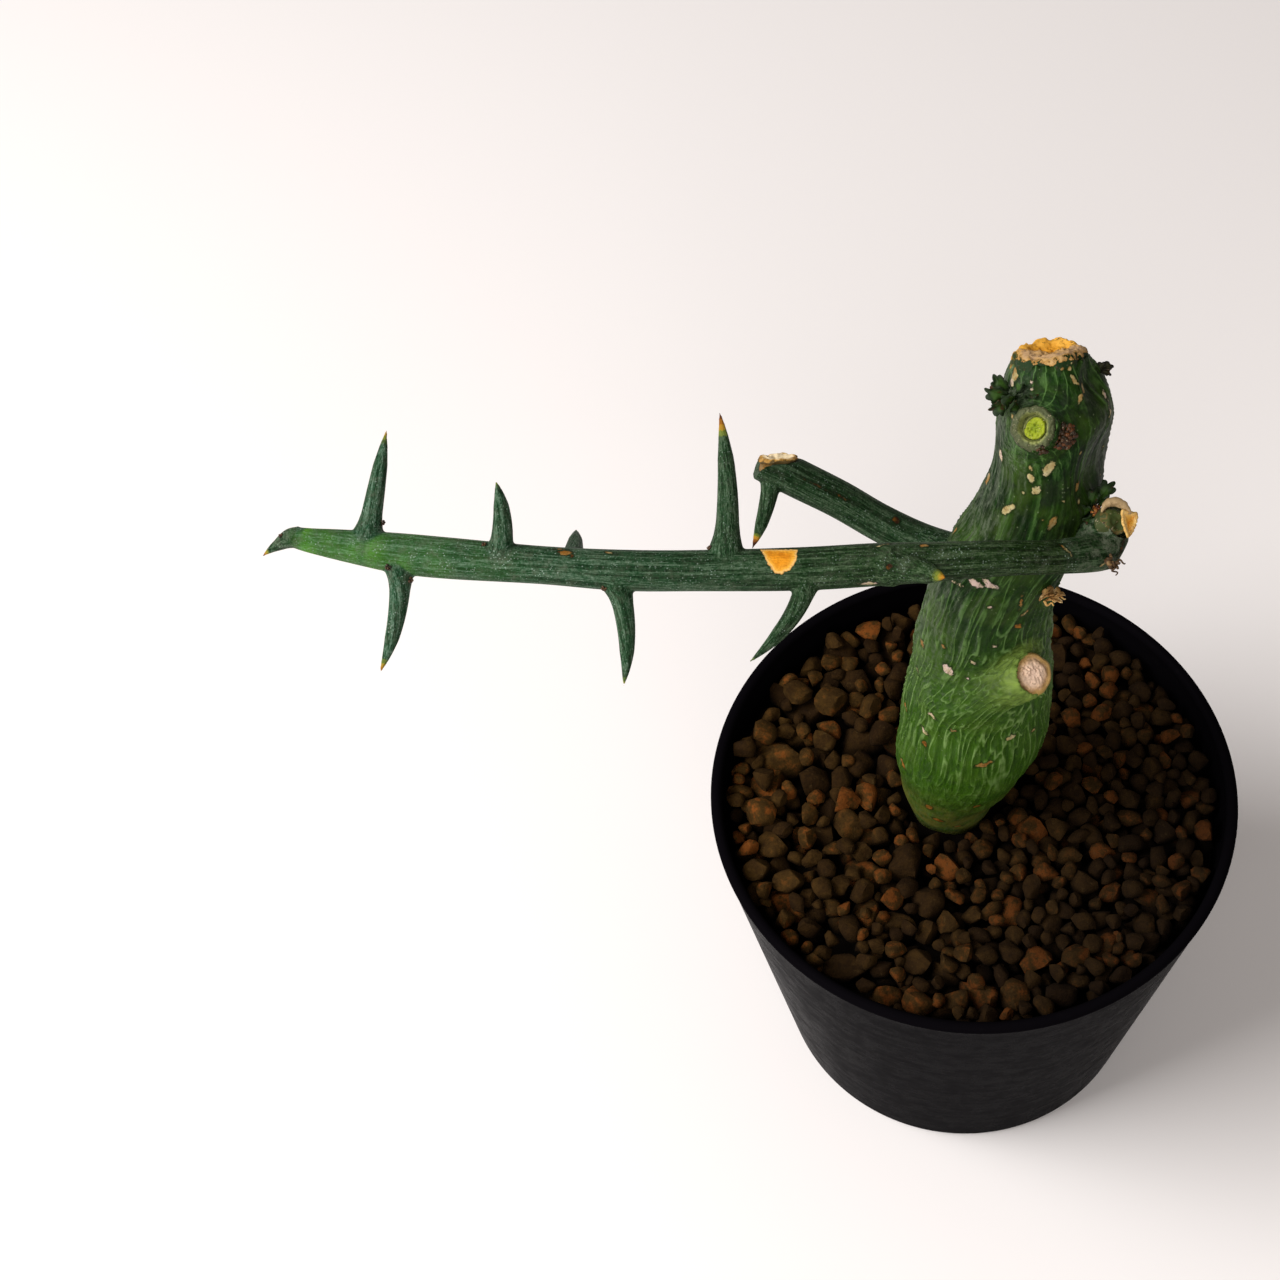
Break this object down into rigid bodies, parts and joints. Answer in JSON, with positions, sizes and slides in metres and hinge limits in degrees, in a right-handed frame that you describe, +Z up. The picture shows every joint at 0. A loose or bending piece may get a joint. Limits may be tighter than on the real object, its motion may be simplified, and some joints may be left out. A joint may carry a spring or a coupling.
{
  "type": "potted adenia",
  "caption": "Thick wrinkled green succulent trunk with a long thorny side branch, standing in brown grit in a round black plastic pot.",
  "frame": {"origin": "centre of the pot's flat underside", "axes": "+Z up, along the pot's axis; +X to the right in the picture, so that the long branch points to -X; +Y away from the front"},
  "size_m": [0.1485, 0.09, 0.1807],
  "materials": {
    "pot_plastic": "black moulded plastic, glossy inside and satin outside",
    "grit": "brown porous fired-clay grains, matt",
    "bark": "living green bark with pale wrinkles and a dull waxy bloom"
  },
  "bodies": {
    "root": {"pot": "pot_plastic", "potting_grit": "grit", "adenia_plant": "bark"}
  },
  "joints": []
}
